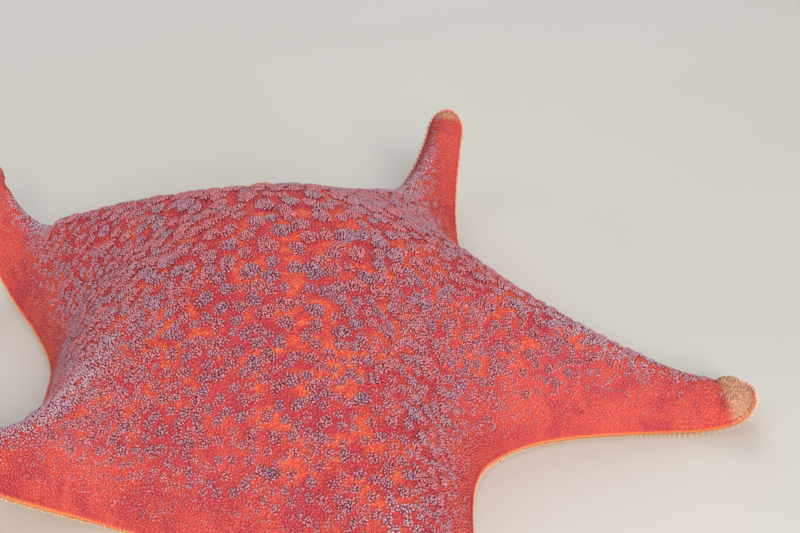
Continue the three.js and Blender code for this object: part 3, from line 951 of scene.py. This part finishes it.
def paint(code):
    """Linear colour of an sRGB hex code."""
    parts = np.array([int(code[i:i + 2], 16) for i in (0, 2, 4)]) / 255
    linear = np.where(parts > 0.04045, ((parts + 0.055) / 1.055) ** 2.4, parts / 12.92)
    return (*linear, 1.0)


class Look:
    """A material whose nodes are added by calls. A socket, a number or a colour's hex code may
    feed each one."""

    def __init__(self, name, **settings):
        self.material = bpy.data.materials.new(name)
        self.material.use_nodes = True
        self.tree = self.material.node_tree
        self.shader = self.tree.nodes["Principled BSDF"]
        for key, value in settings.items():
            name = key.replace("_", " ").title().replace("Ior", "IOR")
            self.shader.inputs[name].default_value = value

    def node(self, kind, output, inputs, **settings):
        node = self.tree.nodes.new(kind)
        for key, value in settings.items():
            setattr(node, key, value)
        for key, value in inputs.items():
            if isinstance(value, bpy.types.NodeSocket):
                self.tree.links.new(value, node.inputs[key])
            elif isinstance(value, str):
                node.inputs[key].default_value = paint(value)
            else:
                node.inputs[key].default_value = value
        return node.outputs[output]

    def attribute(self, name, output="Fac"):
        return self.node("ShaderNodeAttribute", output, {}, attribute_name=name)

    def noise(self, vector, scale, detail=2.0, distortion=0.0):
        inputs = {"Vector": vector, "Scale": scale, "Detail": detail, "Distortion": distortion}
        return self.node("ShaderNodeTexNoise", "Fac", inputs)

    def cells(self, vector, scale, randomness=1.0):
        inputs = {"Vector": vector, "Scale": scale, "Randomness": randomness}
        return self.node("ShaderNodeTexVoronoi", "Distance", inputs)

    def fade(self, value, low, high, start=0.0, end=1.0):
        inputs = {"Value": value, "From Min": low, "From Max": high, "To Min": start, "To Max": end}
        return self.node("ShaderNodeMapRange", "Result", inputs, interpolation_type="SMOOTHSTEP")

    def math(self, operation, one, other):
        return self.node("ShaderNodeMath", 0, {0: one, 1: other}, operation=operation)

    def mix(self, share, one, other, blend="MIX"):
        inputs = {"Fac": share, "Color1": one, "Color2": other}
        return self.node("ShaderNodeMixRGB", "Color", inputs, blend_type=blend)

    def bump(self, height, distance):
        inputs = {"Height": height, "Distance": distance}
        return self.node("ShaderNodeBump", "Normal", inputs)

    def feed(self, **sockets):
        for key, value in sockets.items():
            self.tree.links.new(value, self.shader.inputs[key.replace("_", " ")])
        return self.material


def skin_colour(look, place):
    """Crimson and scarlet with orange patches, shared by skin and coat."""
    broad = look.noise(place, 0.09, 2.0, 0.6)
    middle = look.noise(place, 0.24, 3.0, 0.8)
    fine = look.noise(place, 1.1, 3.0)
    red = look.mix(look.fade(middle, 0.38, 0.62), "BE3E48", "D95446")
    patch = look.math("ADD", look.math("MULTIPLY", middle, 0.8), look.math("MULTIPLY", fine, 0.35))
    patch = look.math("ADD", patch, look.math("MULTIPLY", broad, 0.15))
    orange = look.mix(look.fade(fine, 0.45, 0.75), "EA5C3E", "F1874A")
    inner = look.fade(look.attribute("depth"), *COLOUR_MARGIN)
    colour = look.mix(look.math("MULTIPLY", look.fade(patch, 0.65, 0.77), inner), red, orange)
    glow = look.fade(look.noise(place, 0.16, 2.0, 0.4), 0.46, 0.66, 0.0, 0.85)
    glow = look.math("MULTIPLY", glow, look.math("SUBTRACT", 1.0, inner))
    colour = look.mix(glow, colour, "DA5A48")
    web = look.fade(look.attribute("web"), 0.2, 1.0, 0.0, 0.5)
    deep = look.mix(look.fade(broad, 0.4, 0.6), "B03A42", "D45048")
    return look.mix(web, colour, deep)


def underside_flush(look, place, colour):
    """Orange clouds and a rosy edge on the cream of the underside."""
    clouds = look.fade(look.noise(place, 0.11, 3.0, 0.5), 0.42, 0.7, 0.0, 0.6)
    colour = look.mix(clouds, colour, "DB8A50")
    edge = look.fade(look.attribute("depth"), 0.5, 7.0, 0.35, 0.0)
    return look.mix(edge, colour, "D2705A")


def skin_look():
    look = Look("skin", roughness=0.6, specular_ior_level=0.3, subsurface_weight=0.1,
                subsurface_scale=0.001)
    place = look.attribute("place", "Vector")
    under = look.attribute("under")
    colour = skin_colour(look, place)
    papulae = look.cells(place, 2.4, 0.9)
    grain = look.noise(place, 3.5, 2.0)
    colour = look.mix(look.fade(papulae, 0.15, 0.6, 0.0, 0.4), colour, "9A2639")
    # Painted shade: the skin darkens towards deep maroon where a tuft's granules cover it
    shade = look.fade(look.attribute("cover"), 0.2, 0.9, 0.0, 0.8)
    colour = look.mix(shade, colour, "842E44")
    peach = look.mix(look.fade(grain, 0.35, 0.65), "B07A5E", "CA9A80")
    colour = look.mix(look.attribute("pale"), colour, peach)
    cream = look.mix(look.fade(grain, 0.3, 0.7), "DC9A5E", "ECC494")
    cream = underside_flush(look, place, cream)
    colour = look.mix(look.fade(under, 0.25, 0.5), colour, "E08444")
    colour = look.mix(look.fade(under, 0.6, 0.9), colour, cream)
    height = look.math("SUBTRACT", look.math("MULTIPLY", grain, 0.35), papulae)
    return look.feed(Base_Color=colour, Normal=look.bump(height, 0.0002))


def pale_grains(look, colour):
    tone = look.fade(look.attribute("tint"), 0.2, 0.8)
    pale = look.mix(tone, "B08062", "D4A68A")
    return look.mix(look.attribute("pale"), colour, pale)


def granule_look():
    look = Look("granules", roughness=0.6, specular_ior_level=0.3)
    place = look.attribute("place", "Vector")
    rise = look.attribute("rise")
    tint = look.attribute("tint")
    mauve = look.mix(tint, "966E80", "BC93A2")
    rosy = look.mix(tint, "B66370", "D38B90")
    tone = look.math("MULTIPLY", look.attribute("tone"), 0.45)
    blush = look.math("ADD", look.noise(place, 0.12, 2.0), tone)
    top = look.mix(look.fade(blush, 0.5, 0.9), mauve, rosy)
    lavender = look.mix(tint, "A68699", "C9B0BD")
    top = look.mix(look.fade(look.attribute("crest"), 0.15, 0.9, 0.0, 0.75), top, lavender)
    # Painted shade: each granule darkens to deep maroon towards its root, down between its
    # neighbours
    body = look.mix(look.fade(rise, 0.1, 0.8), "7E3046", top)
    red = look.mix(look.fade(tint, 0.3, 1.0, 0.2, 0.7), skin_colour(look, place), rosy)
    # Painted shade: the granules of small tufts darken to deep red towards their roots
    red = look.mix(look.fade(rise, 0.1, 0.9), "961D2E", red)
    colour = look.mix(look.fade(look.attribute("fullness"), 0.0, 0.6), red, body)
    return look.feed(Base_Color=pale_grains(look, colour))


def grain_look():
    look = Look("grains", roughness=0.6, specular_ior_level=0.3)
    place = look.attribute("place", "Vector")
    tint = look.attribute("tint")
    paler = look.fade(look.attribute("depth"), *COLOUR_MARGIN, 1.0, 0.4)
    paler = look.math("MULTIPLY", paler, look.fade(tint, 0.0, 1.0, 0.15, 0.45))
    tip = look.mix(paler, skin_colour(look, place), "E08A7C")
    # Painted shade: each grain darkens to a dull red towards its root, between the grains
    colour = look.mix(look.fade(look.attribute("rise"), 0.1, 0.8), "AC3A46", tip)
    return look.feed(Base_Color=pale_grains(look, colour))


def fringe_look():
    look = Look("fringe", roughness=0.6, specular_ior_level=0.3)
    low = look.attribute("low")
    root = look.mix(look.fade(low, 0.0, 0.6), "C34040", "DC8048")
    tip = look.mix(look.fade(low, 0.0, 0.8), "E27A64", "EFCB9C")
    share = look.fade(look.attribute("rise"), 0.0, 0.6)
    return look.feed(Base_Color=look.mix(share, root, tip))


def underside_look():
    look = Look("underside", roughness=0.6, subsurface_weight=0.08, subsurface_scale=0.0005)
    tip = look.mix(look.attribute("tint"), "E8BA82", "F2DAB0")
    colour = look.mix(look.fade(look.attribute("rise"), 0.0, 0.7), "C07848", tip)
    return look.feed(Base_Color=underside_flush(look, look.attribute("place", "Vector"), colour))


def foot_look():
    look = Look("tube_feet", roughness=0.3, coat_weight=0.4, coat_roughness=0.15,
                subsurface_weight=0.3, subsurface_scale=0.001)
    grain = look.noise(look.attribute("place", "Vector"), 4.0, 2.0)
    tip = look.mix(grain, "EBC89A", "F8E4C4")
    share = look.fade(look.attribute("rise"), 0.3, 0.95)
    return look.feed(Base_Color=look.mix(share, "DFA873", tip))


def eyespot_look():
    look = Look("eyespot", roughness=0.25, coat_weight=0.5, coat_roughness=0.1)
    share = look.fade(look.attribute("rise"), 0.2, 0.9)
    return look.feed(Base_Color=look.mix(share, "E08A58", "A81E22"))


def sieve_look():
    look = Look("madreporite", roughness=0.6)
    grain = look.noise(look.attribute("place", "Vector"), 6.0, 3.0)
    ridge = look.mix(look.fade(grain, 0.3, 0.7), "D98A74", "E9AE96")
    share = look.fade(look.attribute("furrow"), -0.6, 0.6)
    colour = look.mix(share, "7A2E38", ridge)
    return look.feed(Base_Color=colour, Normal=look.bump(grain, 0.00005))


# The star

tufts = lay_out_tufts()
skin = build_skin(tufts, skin_look())
FLESH = ["disc"] + [f"{part}_{name}" for name in ARM_NAMES for part in ("arm", "tip")]
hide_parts(*FLESH)
build_granules(tufts, granule_look())
build_grains(tufts, grain_look())
build_fringe(fringe_look())
under = underside_look()
build_combs(under)
build_furrow_spines(under)
build_mouth(under)
build_tube_feet(foot_look())
build_eyespots(eyespot_look())
build_sieve(sieve_look())


# Camera, light and floor

CAMERA_PLACE = np.array([17.843, -171.218, 109.95]) + MOUTH
CAMERA_DOWN = 27.7255
CAMERA_LENS = 57.93


def add_camera():
    data = bpy.data.cameras.new("camera")
    data.lens = CAMERA_LENS
    data.sensor_width = 36
    data.clip_start = 0.01
    camera = bpy.data.objects.new("camera", data)
    camera.location = CAMERA_PLACE * MM
    camera.rotation_euler = (math.radians(90 - CAMERA_DOWN), 0, 0)
    bpy.context.scene.collection.objects.link(camera)
    bpy.context.scene.camera = camera


def add_light(name, place, target, size, power, colour):
    data = bpy.data.lights.new(name, "AREA")
    data.shape = "DISK"
    data.size = size
    data.energy = power
    data.color = paint(colour)[:3]
    light = bpy.data.objects.new(name, data)
    light.location = place
    towards = np.array(target) - place
    light.rotation_euler = Vector(towards).to_track_quat("-Z", "Y").to_euler()
    bpy.context.scene.collection.objects.link(light)


def add_floor():
    side = 3.0
    mesh = bpy.data.meshes.new("floor")
    corners = [(-side, -side, 0), (side, -side, 0), (side, side, 0), (-side, side, 0)]
    mesh.from_pydata(corners, [], [(0, 1, 2, 3)])
    look = Look("floor", roughness=0.7)
    coordinates = look.node("ShaderNodeTexCoord", "Object", {})
    tone = look.fade(look.noise(coordinates, 6.0, 3.0), 0.3, 0.7)
    mesh.materials.append(look.feed(Base_Color=look.mix(tone, "D0CEC8", "D8D6D1")))
    floor = bpy.data.objects.new("floor", mesh)
    bpy.context.scene.collection.objects.link(floor)


def add_world():
    world = bpy.data.worlds.new("world")
    world.use_nodes = True
    sky = world.node_tree.nodes["Background"]
    sky.inputs["Color"].default_value = paint("F2F4F6")
    sky.inputs["Strength"].default_value = 0.36
    bpy.context.scene.world = world


add_camera()
add_light("key", (0.20, -0.79, 0.42), (0, 0, 0), 0.45, 9.7, "FFF8F0")
add_light("fill", (-0.65, -0.40, 0.90), (0, 0, 0), 0.80, 1.4, "F4F8FF")
add_light("back", (-0.05, 0.95, 0.75), (0, 0, 0), 0.80, 4.2, "FFFFFF")
add_floor()
add_world()
bpy.context.scene.view_settings.view_transform = "Standard"
